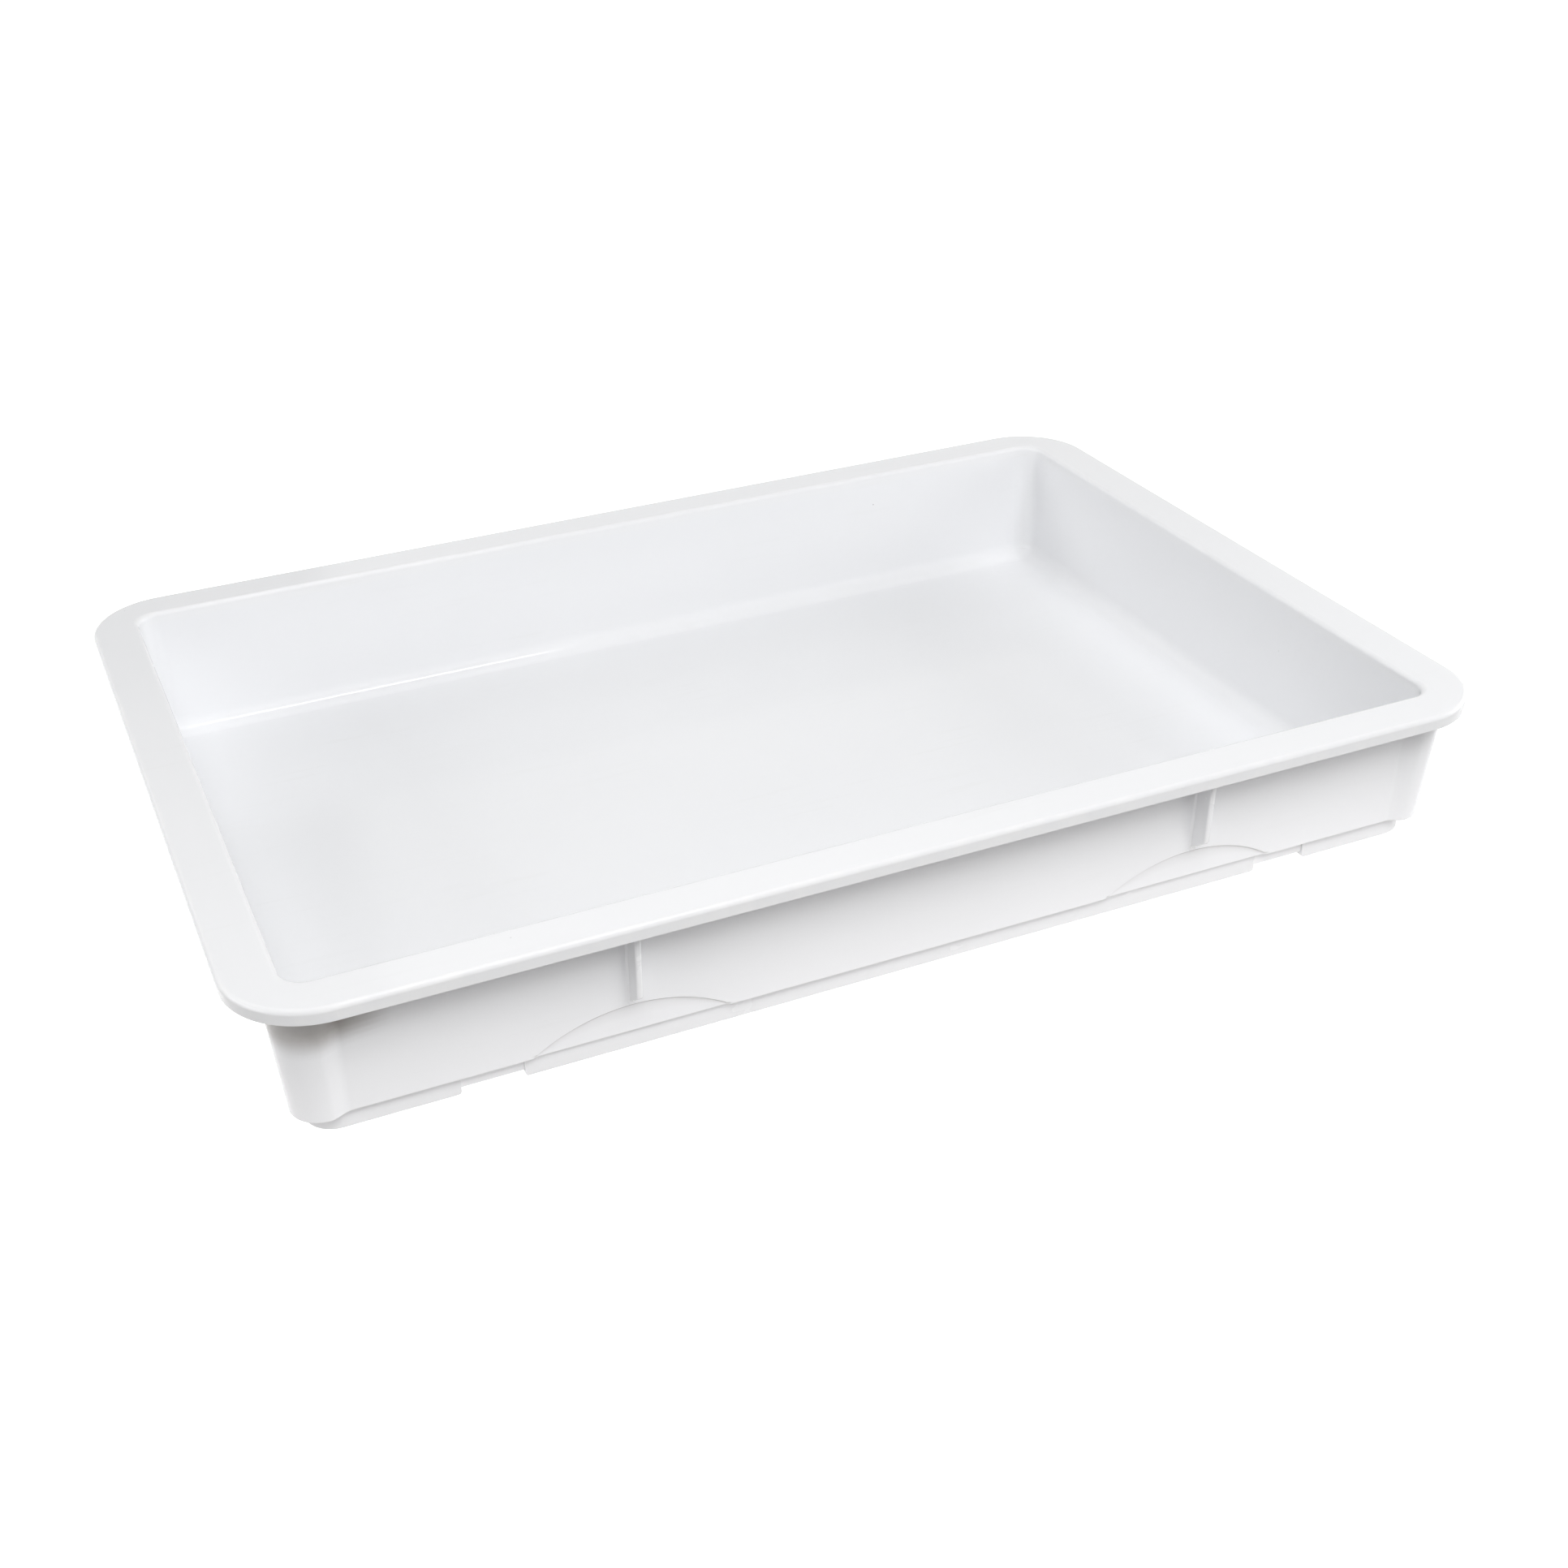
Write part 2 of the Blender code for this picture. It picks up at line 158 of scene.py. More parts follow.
# ---------------------------------------------------------------- small helpers
def smooth(t):
    """Smooth step between 0 and 1."""
    t = min(1.0, max(0.0, t))
    return t * t * (3.0 - 2.0 * t)


def mix(a, b, t):
    """Linear blend of two numbers."""
    return a + (b - a) * t


def arc(cx, cz, radius, start_deg, end_deg, steps):
    """Points on an arc in a section plane, both ends included."""
    points = []
    for i in range(steps + 1):
        angle = math.radians(mix(start_deg, end_deg, i / steps))
        points.append((cx + radius * math.cos(angle), cz + radius * math.sin(angle)))
    return points


def new_surface():
    """Empty bmesh with two values per vertex: how worn it is, and how much painted shade it
    takes.
    """
    bm = bmesh.new()
    bm.verts.layers.float.new("wear")
    bm.verts.layers.float.new("painted_shade")
    return bm


def add_line(bm, points, wear, painted_shade=None):
    """Vertices along one line of the surface, with their wear and painted shade values."""
    wear_layer = bm.verts.layers.float["wear"]
    painted_shade_layer = bm.verts.layers.float["painted_shade"]
    line = []
    for i, point in enumerate(points):
        vert = bm.verts.new(point)
        vert[wear_layer] = wear[i]
        vert[painted_shade_layer] = painted_shade[i] if painted_shade else 0.0
        line.append(vert)
    return line


def skin(bm, line_a, line_b):
    """Quads between two closed lines of equal length."""
    count = len(line_a)
    for i in range(count):
        j = (i + 1) % count
        bm.faces.new((line_a[i], line_a[j], line_b[j], line_b[i]))


def close_ends(bm, lines):
    """Flat faces on the first and the last line."""
    bm.faces.new(list(reversed(lines[0])))
    bm.faces.new(lines[-1])


def add_object(name, data):
    """Object in the scene for a mesh, light or camera."""
    obj = bpy.data.objects.new(name, data)
    bpy.context.scene.collection.objects.link(obj)
    return obj


def mesh_object(name, bm, material):
    """Object from a bmesh, which is used up."""
    mesh = bpy.data.meshes.new(name)
    bm.to_mesh(mesh)
    bm.free()
    mesh.materials.append(material)
    return add_object(name, mesh)


def finish_object(name, bm, material, nodes):
    """Piece from a bmesh, with outward normals and clean shading, tied to the CAD."""
    bmesh.ops.recalc_face_normals(bm, faces=bm.faces)
    if bm.calc_volume(signed=True) < 0.0:
        bmesh.ops.reverse_faces(bm, faces=bm.faces)
    obj = mesh_object(name, bm, material)
    obj.data.shade_smooth()
    obj.data.set_sharp_from_angle(angle=math.radians(SMOOTH_DEG))
    shade = obj.modifiers.new("even_shading", "WEIGHTED_NORMAL")
    shade.mode = "FACE_AREA"
    shade.weight = 60
    shade.keep_sharp = True
    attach(obj, "root")
    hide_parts(*nodes)
    return obj


# ---------------------------------------------------------------- section rows
# A row is one closed line round the tray.  A plain row has half sizes, a corner
# radius and one height.  A panel row lies on the outer panel, where its height
# may follow the arc of a half-moon: z = base + follow * arc_z.

def plain_row(half_x, half_y, radius, z, wear=0.0):
    """Row that keeps one height all round and has no corner posts."""
    return {"kind": "plain", "hx": half_x, "hy": half_y, "r": max(radius, MIN_CORNER_R),
            "z": z, "wear": wear, "painted_shade": 0.0, "line": 0.0}


def inset_row(outline, inset, z, wear=0.0):
    """Plain row on an outline (half sizes, corner radius) moved inwards all round."""
    half_x, half_y, radius = outline
    return plain_row(half_x - inset, half_y - inset, radius - inset, z, wear)


def inner_row(z):
    """Row on the drafted inside wall."""
    return inset_row(BASIN, (WALL_TOP_Z - z) * INNER_DRAFT, z)


def panel_row(base, follow=0.0, depth=0.0, inset=0.0, wear=0.0, painted_shade=0.0, line=0.0):
    """Row on the outer panel; depth says how much of the half-moon recess it takes; the last two
    values give painted shade under the flange and in the recess's top corner.
    """
    return {"kind": "panel", "base": base, "follow": follow, "depth": depth,
            "inset": inset, "wear": wear, "painted_shade": painted_shade, "line": line}


def painted_shade_share(x, y):
    """How much painted shade falls under the flange: a trace, and most on the front left post.
    """
    away = math.hypot(x + PANEL_X - POST_CORNER_R, y + PANEL_Y - POST_CORNER_R)
    return mix(1.0, PAINTED_SHADE_TRACE, smooth((away - POST_CORNER_R) / PAINTED_SHADE_FADE))


def inner_wall_rows():
    """Basin side from the rim seam down to the flat strip of the floor."""
    rows = [inner_row(SPLIT_Z)]
    rows.append(inner_row(mix(SPLIT_Z, FILLET_TOP_Z, 0.5)))
    rows.append(inner_row(FILLET_TOP_Z + SUPPORT))
    for d, z in arc(0.0, FILLET_TOP_Z, FILLET_R, 0.0, -90.0, 10):
        rows.append(inset_row(BASIN, BASE_INSET + FILLET_R - d, z))
    for step in (SUPPORT, FLOOR_STRIP):
        rows.append(plain_row(FLAT_X - step, FLAT_Y - step, MIN_CORNER_R, FLOOR_Z))
    return rows


def outer_wall_rows():
    """Underside, plinth, ledge and panel up to the rim seam."""
    rows = [plain_row(FLAT_X - FLOOR_STRIP, FLAT_Y - FLOOR_STRIP, MIN_CORNER_R, UNDER_Z)]
    rows.append(inset_row(PLINTH, PLINTH_EDGE_R + SUPPORT, UNDER_Z))
    for d, z in arc(0.0, UNDER_Z + PLINTH_EDGE_R, PLINTH_EDGE_R, -90.0, 0.0, 4):
        rows.append(inset_row(PLINTH, PLINTH_EDGE_R - d, z, wear=0.7))
    rows.append(inset_row(PLINTH, 0.0, LEDGE_Z - SUPPORT))
    rows.append(inset_row(PLINTH, 0.0, LEDGE_Z))
    for d, z in arc(0.0, LEDGE_Z + LEDGE_EDGE_R, LEDGE_EDGE_R, -90.0, 0.0, 5):
        rows.append(panel_row(z, depth=1.0, inset=LEDGE_EDGE_R - d, wear=0.8))
    return rows + moon_rows() + painted_shade_rows()


def moon_rows():
    """Panel rows from the ledge over the half-moons' arc to the plain panel."""
    low = LEDGE_Z + LEDGE_EDGE_R + 0.1 * MM
    rows = []
    for t in (0.0, 0.5):
        rows.append(panel_row(mix(low, -MOON_STEP, t), follow=t, depth=1.0))
    for offset in (-1.0, -0.6, -0.3, 0.0, 0.3, 0.6, 1.0):
        depth = smooth(0.5 - offset * 0.5)
        # painted shade along the top corner of the recess
        line = MOON_PAINTED_SHADE * smooth(1.0 - abs(offset - SHADE_LINE_OFFSET) / SHADE_LINE_WIDTH)
        rows.append(panel_row(offset * MOON_STEP, follow=1.0, depth=depth, line=line))
    for t in (0.4, 1.0):
        rows.append(panel_row(mix(MOON_STEP, MOON_CLEAR_Z, t), follow=1.0 - t))
    return rows


def painted_shade_rows():
    """Panel rows up to the rim seam, close together where the painted shade fades out."""
    start = SPLIT_Z - PAINTED_SHADE_DEPTH
    rows = [panel_row(mix(MOON_CLEAR_Z, start, 0.5))]
    for i in range(PAINTED_SHADE_STEPS + 1):
        t = i / PAINTED_SHADE_STEPS
        rows.append(panel_row(SPLIT_Z - PAINTED_SHADE_DEPTH * (1.0 - t), painted_shade=smooth(2.0 * t)))
    return rows


def rim_rows():
    """Rim shell: inside root, rounded opening, flat top, rounded edge, lip, underside."""
    rows = [inner_row(SPLIT_Z), inner_row(WALL_TOP_Z - SUPPORT)]
    for d, z in arc(0.0, WALL_TOP_Z, OPEN_EDGE_R, 180.0, 90.0, 8):
        rows.append(plain_row(OPEN_X + d, OPEN_Y + d, OPEN_CORNER_R, z, wear=0.5))
    rows.append(plain_row(OPEN_X + SUPPORT, OPEN_Y + SUPPORT, OPEN_CORNER_R, TOP_Z))
    rows.append(inset_row(RIM, RIM_EDGE_R + SUPPORT, TOP_Z))
    for d, z in arc(0.0, TOP_Z - RIM_EDGE_R, RIM_EDGE_R, 90.0, 0.0, 10):
        rows.append(inset_row(RIM, RIM_EDGE_R - d, z, wear=1.0))
    lip_z = TOP_Z - LIP_DEPTH
    for d, z in arc(0.0, lip_z + LIP_EDGE_R, LIP_EDGE_R, 0.0, -90.0, 4):
        rows.append(inset_row(RIM, LIP_DRAFT + LIP_EDGE_R - d, z, wear=1.0))
    rows.append(inset_row(RIM, LIP_THICK - LIP_EDGE_R, lip_z, wear=0.6))
    rows.append(inset_row(RIM, LIP_THICK, lip_z + LIP_EDGE_R, wear=0.6))
    under_z = TOP_Z - RIM_THICK
    for d, z in arc(0.0, under_z - LIP_ROOT_R, LIP_ROOT_R, 0.0, 90.0, 3):
        rows.append(inset_row(RIM, LIP_THICK + LIP_ROOT_R - d, z))
    # the root fillet under the flange and the wall's top take full painted shade
    for d, z in arc(ROOT_R, under_z - ROOT_R, ROOT_R, 90.0, 180.0, 5):
        rows.append(panel_row(z, inset=-d, painted_shade=1.0))
    rows.append(panel_row(SPLIT_Z, painted_shade=1.0))
    return rows


# ---------------------------------------------------------------- stations round the tray
SIDE_STEPS = 24
MOON_STEPS = 88
MOON_MARGIN = 2.0 * MM


def side_stations(cut, moons):
    """Positions along one straight side, close together where a half-moon is."""
    values = set()
    for i in range(1, SIDE_STEPS):
        values.add(round(mix(-cut, cut, i / SIDE_STEPS), 6))
    spread = MOON_HALF + MOON_MARGIN
    for centre in moons:
        values = {v for v in values if abs(v - centre) > spread + MOON_MARGIN}
        for i in range(MOON_STEPS + 1):
            values.add(round(centre + mix(-spread, spread, i / MOON_STEPS), 6))
    return sorted(values)


FRONT_X = side_stations(CUT_X, [x for x, side in MOONS if side < 0])
BACK_X = side_stations(CUT_X, [x for x, side in MOONS if side > 0])
SIDE_Y = side_stations(CUT_Y, [])
BEND_STEPS = 9
CORNER_STEPS = 18


def corner_points(half_x, half_y, radius, proud):
    """Quarter line round the +X +Y corner, from the front cut to the side cut."""
    cx = half_x + proud - radius
    cy = half_y + proud - radius
    points = []
    for i in range(BEND_STEPS):
        t = i / BEND_STEPS
        points.append((mix(CUT_X, cx, t), half_y + proud * smooth(t)))
    for i in range(CORNER_STEPS + 1):
        angle = math.pi / 2.0 * (1.0 - i / CORNER_STEPS)
        points.append((cx + radius * math.cos(angle), cy + radius * math.sin(angle)))
    for i in range(1, BEND_STEPS + 1):
        t = i / BEND_STEPS
        points.append((half_x + proud * (1.0 - smooth(t)), mix(cy, CUT_Y, t)))
    return points


def arc_height(x, side):
    """Height of the half-moon's arc at x on one long side, and the recess there."""
    floor_z = LEDGE_Z + MOON_LOWEST
    for centre, moon_side in MOONS:
        away = abs(x - centre)
        if moon_side != side or away >= MOON_HALF:
            continue
        radius = (MOON_HALF ** 2 + MOON_RISE ** 2) / (2.0 * MOON_RISE)
        z = LEDGE_Z + MOON_RISE - radius + math.sqrt(radius ** 2 - away ** 2)
        fade = smooth((z - LEDGE_Z) / MOON_LOWEST)
        return max(z, floor_z), fade
    return floor_z, 0.0


def panel_sizes(row, arc_z):
    """Half sizes, corner radius, post height over the panel, and z of a panel row."""
    z = row["base"] + row["follow"] * arc_z
    out = max(z - LEDGE_Z, 0.0) * PANEL_DRAFT - row["inset"]
    proud = POST_PROUD + (POST_DRAFT - PANEL_DRAFT) * max(z - LEDGE_Z, 0.0)
    return PANEL_X + out, PANEL_Y + out, POST_CORNER_R + out, proud, z


def row_corner(row):
    """Corner line of a row as (x, y, z) points in the +X +Y quarter."""
    if row["kind"] == "plain":
        points = corner_points(row["hx"], row["hy"], row["r"], 0.0)
        return [(x, y, row["z"]) for x, y in points]
    half_x, half_y, radius, proud, z = panel_sizes(row, LEDGE_Z + MOON_LOWEST)
    return [(x, y, z) for x, y in corner_points(half_x, half_y, radius, proud)]


def row_long_point(row, x, side):
    """Point of a row on the front or back side."""
    if row["kind"] == "plain":
        return (x, side * row["hy"], row["z"])
    arc_z, fade = arc_height(x, side)
    _half_x, half_y, _radius, _proud, z = panel_sizes(row, arc_z)
    return (x, side * (half_y - MOON_DEPTH * row["depth"] * fade), z)


def row_short_point(row, y, side):
    """Point of a row on the left or right side."""
    if row["kind"] == "plain":
        return (side * row["hx"], y, row["z"])
    half_x, _half_y, _radius, _proud, z = panel_sizes(row, LEDGE_Z + MOON_LOWEST)
    return (side * half_x, y, z)


def row_points(row):
    """Closed line of points, counterclockwise from the front left."""
    corner = row_corner(row)
    points = [row_long_point(row, x, -1.0) for x in FRONT_X]
    points += [(x, -y, z) for x, y, z in corner]
    points += [row_short_point(row, y, 1.0) for y in SIDE_Y]
    points += [(x, y, z) for x, y, z in reversed(corner)]
    points += [row_long_point(row, x, 1.0) for x in reversed(BACK_X)]
    points += [(-x, y, z) for x, y, z in corner]
    points += [row_short_point(row, y, -1.0) for y in reversed(SIDE_Y)]
    points += [(-x, -y, z) for x, y, z in reversed(corner)]
    return points


def row_painted_shade(row, points):
    """Painted shade along a row: below the flange, and in the corner of the half-moons."""
    values = []
    for x, y, _z in points:
        _arc_z, fade = arc_height(x, math.copysign(1.0, y))
        values.append(row["painted_shade"] * painted_shade_share(x, y) + row["line"] * fade)
    return values


def shell(name, rows, material, nodes, plate=False):
    """Closed ring through the rows; as a plate it is capped at its two ends instead."""
    bm = new_surface()
    lines = []
    for row in rows:
        points = row_points(row)
        lines.append(add_line(bm, points, [row["wear"]] * len(points), row_painted_shade(row, points)))
    for line_a, line_b in zip(lines, lines[1:]):
        skin(bm, line_a, line_b)
    if plate:
        close_ends(bm, lines)
    else:
        skin(bm, lines[-1], lines[0])
    return finish_object(name, bm, material, nodes)


# ---------------------------------------------------------------- gusset fins
FIN_HALF = 1.55 * MM
FIN_NOSE_R = 1.1 * MM
FIN_FLARE = 1.1 * MM
FIN_EMBED = 0.8 * MM
FIN_LEAN = 2.2 * MM                # how much further out the fin's top is than its shoulder
FIN_SHOULDER = 9.6 * MM            # height of the slanted part above the tip
FIN_INTO_RIM = 0.4 * MM
TAIL_GAP = 0.9 * MM                # the tail starts this far above the half-moon
FIN_WORN = 0.4 * MM                # the nose is worn this far back
FIN_TOP_FLARE = 1.2                # how much wider the flare gets below the flange
FIN_TOP_RUN = 4.0 * MM             # and over which height


def panel_face(z):
    """Outer face of the long panels at a height."""
    return PANEL_Y + (z - LEDGE_Z) * PANEL_DRAFT


def fin_section(proud, wall, flare):
    """Half outline of a fin's level cut, from inside the wall to the middle of its nose."""
    root = min(flare, 0.6 * proud)
    points = [(FIN_HALF + flare, wall - FIN_EMBED), (FIN_HALF + flare, wall)]
    for t in (0.25, 0.5, 0.75, 1.0):
        points.append((FIN_HALF + flare * (1.0 - t) ** 2, wall + root * t))
    nose = min(FIN_NOSE_R, 0.35 * proud)
    for c, s in arc(0.0, 0.0, 1.0, 0.0, 90.0, 5):
        across = FIN_HALF - FIN_NOSE_R + FIN_NOSE_R * c
        points.append((across, wall + proud - nose + nose * s))
    points.append((0.0, wall + proud))
    return points


def fin_levels(node):
    """Heights of a fin's level cuts and how far each stands out of the panel."""
    lo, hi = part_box(node)
    top = TOP_Z - RIM_THICK + FIN_INTO_RIM
    reach_top = max(abs(lo.y), abs(hi.y))
    reach_low = reach_top - FIN_LEAN
    tip = lo.z
    shoulder = tip + FIN_SHOULDER
    tail = LEDGE_Z + MOON_RISE + TAIL_GAP
    levels = [(tail, 0.1 * MM), (tail + 0.3 * MM, 0.25 * MM), (tip + 0.6 * MM, 0.4 * MM)]
    start = tip + 1.4 * MM
    for t in (0.0, 0.25, 0.5, 0.75, 0.92):
        proud = mix(0.9 * MM, reach_low - panel_face(shoulder), t)
        levels.append((mix(start, shoulder, t), proud))
    for t in (0.0, 0.04, 0.1, 0.3, 0.55, 0.8, 0.93, 1.0):
        z = mix(shoulder + 0.6 * MM, top, t)
        levels.append((z, mix(reach_low, reach_top, t) - panel_face(z)))
    return levels


def gusset(node, material):
    """Upright fin with flared roots, a rounded nose and a shallow tail to the arc."""
    centre, side = fin_centre(node)
    levels = fin_levels(node)
    top = levels[-1][0]
    bm = new_surface()
    lines = []
    for z, proud in levels:
        wall = panel_face(z)
        near_top = smooth((z - top + FIN_TOP_RUN) / FIN_TOP_RUN)
        flare = FIN_FLARE * (1.0 + FIN_TOP_FLARE * near_top) * min(1.0, proud / (2.0 * MM) + 0.3)
        half = fin_section(proud, wall, flare)
        outline = half + [(-x, y) for x, y in reversed(half[:-1])]
        worn = [1.0 if y > wall + proud - FIN_WORN else 0.0 for x, y in outline]
        lines.append(add_line(bm, [(centre + x, side * y, z) for x, y in outline], worn))
    for line_a, line_b in zip(lines, lines[1:]):
        skin(bm, line_a, line_b)
    close_ends(bm, lines)
    name = node.replace("gusset", "fin")
    return finish_object(name, bm, material, [node])


# ---------------------------------------------------------------- foot rails
FOOT_WIDTH = 8.0 * MM
FOOT_EDGE_R = 0.8 * MM
FOOT_END_R = 2.2 * MM
FOOT_CORNER_R = 15.1 * MM
FOOT_BEND_STEPS = 16
FOOT_SINK = 0.6 * MM               # how far the rail reaches into the plinth


def foot_outline():
    """Closed cut through a rail as (inset from the outer face, z, wear)."""
    up = LEDGE_Z + 0.15 * MM
    deep = PLINTH_IN + FOOT_SINK
    over = UNDER_Z + 0.5 * MM
    points = [(deep, up, 0.0), (0.0, up, 0.0), (0.0, FOOT_EDGE_R + SUPPORT, 0.0)]
    for d, z in arc(0.0, FOOT_EDGE_R, FOOT_EDGE_R, 0.0, -90.0, 4):
        points.append((FOOT_EDGE_R - d, z, 1.0))
    for d, z in arc(0.0, FOOT_EDGE_R, FOOT_EDGE_R, -90.0, -180.0, 4):
        points.append((FOOT_WIDTH - FOOT_EDGE_R - d, z, 1.0))
    points += [(FOOT_WIDTH, over, 0.0), (deep, over, 0.0)]
    return points


def end_lift(distance):
    """Height of the rounded lower end of a rail at a distance from its end."""
    if distance >= FOOT_END_R:
        return 0.0
    return FOOT_END_R - math.sqrt(max(FOOT_END_R ** 2 - (FOOT_END_R - distance) ** 2, 0.0))


END_OFFSETS = [FOOT_END_R * f for f in (0.0, 0.03, 0.12, 0.3, 0.6, 1.0)]


def rail_ends(half):
    """Places along a straight rail, close together at both rounded ends."""
    values = [off - half for off in END_OFFSETS]
    return values + [half - off for off in reversed(END_OFFSETS)]


def rail(node, stations, material):
    """Rail through stations; each gives a point for an inset and its end distance."""
    outline = foot_outline()
    worn = [value for _inset, _z, value in outline]
    bm = new_surface()
    lines = []
    for place, distance in stations:
        low = end_lift(distance)
        points = [(*place(inset), max(z, low)) for inset, z, _value in outline]
        lines.append(add_line(bm, points, worn))
    for line_a, line_b in zip(lines, lines[1:]):
        skin(bm, line_a, line_b)
    close_ends(bm, lines)
    bmesh.ops.dissolve_degenerate(bm, dist=0.00001, edges=bm.edges)
    name = node.replace("foot", "rail")
    return finish_object(name, bm, material, [node])


def straight_rail(node, along_x, side, half, material):
    """Rail in the middle of one side."""
    stations = []
    for s in rail_ends(half):
        if along_x:
            place = lambda inset, s=s: (s, side * (FOOT_Y - inset))
        else:
            place = lambda inset, s=s: (side * (FOOT_X - inset), s)
        stations.append((place, half - abs(s)))
    return rail(node, stations, material)


def corner_rail(node, sx, sy, material):
    """Rail round one corner."""
    cx = FOOT_X - FOOT_CORNER_R
    cy = FOOT_Y - FOOT_CORNER_R
    stations = []
    for off in END_OFFSETS:
        place = lambda inset, off=off: (sx * (FOOT_CORNER_X + off), sy * (FOOT_Y - inset))
        stations.append((place, off))
    for i in range(FOOT_BEND_STEPS + 1):
        angle = math.pi / 2.0 * (1.0 - i / FOOT_BEND_STEPS)
        place = lambda inset, a=angle: (
            sx * (cx + (FOOT_CORNER_R - inset) * math.cos(a)),
            sy * (cy + (FOOT_CORNER_R - inset) * math.sin(a)),
        )
        stations.append((place, FOOT_END_R))
    for off in reversed(END_OFFSETS):
        place = lambda inset, off=off: (sx * (FOOT_X - inset), sy * (FOOT_CORNER_Y + off))
        stations.append((place, off))
    return rail(node, stations, material)


# ---------------------------------------------------------------- white plastic
PLASTIC_IOR = 1.49
SPECK_GREY = (0.34, 0.33, 0.32)
SCUFF_GREY = (0.70, 0.70, 0.69)
WORN_WHITE = (0.84, 0.84, 0.835)
# warm dark brown of the painted shade under the flange and in the half-moon recesses
PAINTED_SHADE_BROWN = (0.22, 0.19, 0.16)
BUMP_STRENGTH = 0.22
BUMP_HEIGHT = 0.06 * MM
SWELL_RELIEF = 2.2                 # against the orange peel's height
GROOVE_RELIEF = -0.8
RUB_ROUGHNESS = 0.22               # roughness added where it is rubbed or worn
WEAR_ROUGHNESS = 0.18
DRIFT_SCALE = 5.0                  # scales of the noise: cells per metre
PATCH_SCALE = 13.0
RARE_SCALE = 17.0
SWELL_SCALE = 26.0
CLOUD_SCALE = 38.0
SPECK_SCALE = 42.0
PAINTED_SHADE_SCALE = 60.0
WEAR_SCALE = 120.0
STREAK_SCALE = 260.0
PEEL_SCALE = 420.0
ALONG_X = (0.05, 1.0, 1.0)         # draws noise out along X
MIX_A = 6                          # numbers of the Mix node's colour sockets
MIX_B = 7
MIX_OUT = 2
# piece: light white, dark white, roughness range, scuff, speck
WHITES = {
    "floor": ((0.812, 0.818, 0.832), (0.798, 0.805, 0.820), (0.08, 0.12), 0.12, 0.8),
    "wall": ((0.812, 0.817, 0.832), (0.798, 0.804, 0.820), (0.08, 0.12), 0.10, 0.7),
    "rim": ((0.815, 0.819, 0.830), (0.800, 0.805, 0.817), (0.08, 0.12), 0.14, 0.3),
    "fin": ((0.808, 0.813, 0.826), (0.794, 0.800, 0.814), (0.20, 0.28), 0.2, 0.0),
    # the feet are the same moulding in a darker white: painted shade for the lower light at the
    # feet
    "foot": ((0.748, 0.752, 0.764), (0.735, 0.740, 0.752), (0.20, 0.28), 0.1, 0.2),
}


def link(tree, source, output, target, socket):
    """Join two node sockets."""
    tree.links.new(source.outputs[output], target.inputs[socket])


def noise(tree, coords, scale, detail, stretch=(1.0, 1.0, 1.0)):
    """Noise in object space, optionally drawn out along an axis."""
    mapping = tree.nodes.new("ShaderNodeMapping")
    mapping.inputs["Scale"].default_value = stretch
    link(tree, coords, "Object", mapping, "Vector")
    node = tree.nodes.new("ShaderNodeTexNoise")
    node.inputs["Scale"].default_value = scale
    node.inputs["Detail"].default_value = detail
    link(tree, mapping, "Vector", node, "Vector")
    return node


def ramp(tree, source, output, low, high, from_value, to_value):
    """Map a value range to another one, clamped."""
    node = tree.nodes.new("ShaderNodeMapRange")
    node.inputs["From Min"].default_value = low
    node.inputs["From Max"].default_value = high
    node.inputs["To Min"].default_value = from_value
    node.inputs["To Max"].default_value = to_value
    link(tree, source, output, node, "Value")
    return node


def maths(tree, operation, a, a_out, b=None, b_out="Value", value=0.5):
    """One arithmetic node with a second socket or a constant."""
    node = tree.nodes.new("ShaderNodeMath")
    node.operation = operation
    tree.links.new(a.outputs[a_out], node.inputs[0])
    if b is None:
        node.inputs[1].default_value = value
    else:
        tree.links.new(b.outputs[b_out], node.inputs[1])
    return node


def blend_colour(tree, factor, factor_out, colour_a, colour_b):
    """Mix of two colours; each is a constant or an earlier node."""
    node = tree.nodes.new("ShaderNodeMix")
    node.data_type = "RGBA"
    tree.links.new(factor.outputs[factor_out], node.inputs[0])
    for socket, colour in ((MIX_A, colour_a), (MIX_B, colour_b)):
        if isinstance(colour, tuple):
            node.inputs[socket].default_value = (*colour, 1.0)
        else:
            tree.links.new(colour.outputs[MIX_OUT], node.inputs[socket])
    return node


def drifting_white(tree, coords, light, dark):
    """Two close whites that drift over the piece."""
    drift = noise(tree, coords, DRIFT_SCALE, 3.0)
    mask = ramp(tree, drift, "Fac", 0.35, 0.65, 0.0, 1.0)
    return blend_colour(tree, mask, "Result", light, dark)


def with_specks(tree, coords, body, speck):
    """Tiny dark inclusions, only in a few places."""
    cells = tree.nodes.new("ShaderNodeTexVoronoi")
    cells.inputs["Scale"].default_value = SPECK_SCALE
    link(tree, coords, "Object", cells, "Vector")
    dot = ramp(tree, cells, "Distance", 0.012, 0.022, 1.0, 0.0)
    rare = noise(tree, coords, RARE_SCALE, 0.0)
    rare_mask = ramp(tree, rare, "Fac", 0.62, 0.66, 0.0, speck)
    dots = maths(tree, "MULTIPLY", dot, "Result", rare_mask, "Result")
    return blend_colour(tree, dots, "Value", body, SPECK_GREY)


def rubbed_mask(tree, coords, scuff):
    """Fine streaks along X, in patches, where the surface is rubbed."""
    streaks = noise(tree, coords, STREAK_SCALE, 4.0, ALONG_X)
    streak_mask = ramp(tree, streaks, "Fac", 0.56, 0.70, 0.0, 1.0)
    patches = noise(tree, coords, PATCH_SCALE, 2.0)
    patch_mask = ramp(tree, patches, "Fac", 0.48, 0.64, 0.0, scuff)
    return maths(tree, "MULTIPLY", streak_mask, "Result", patch_mask, "Result")


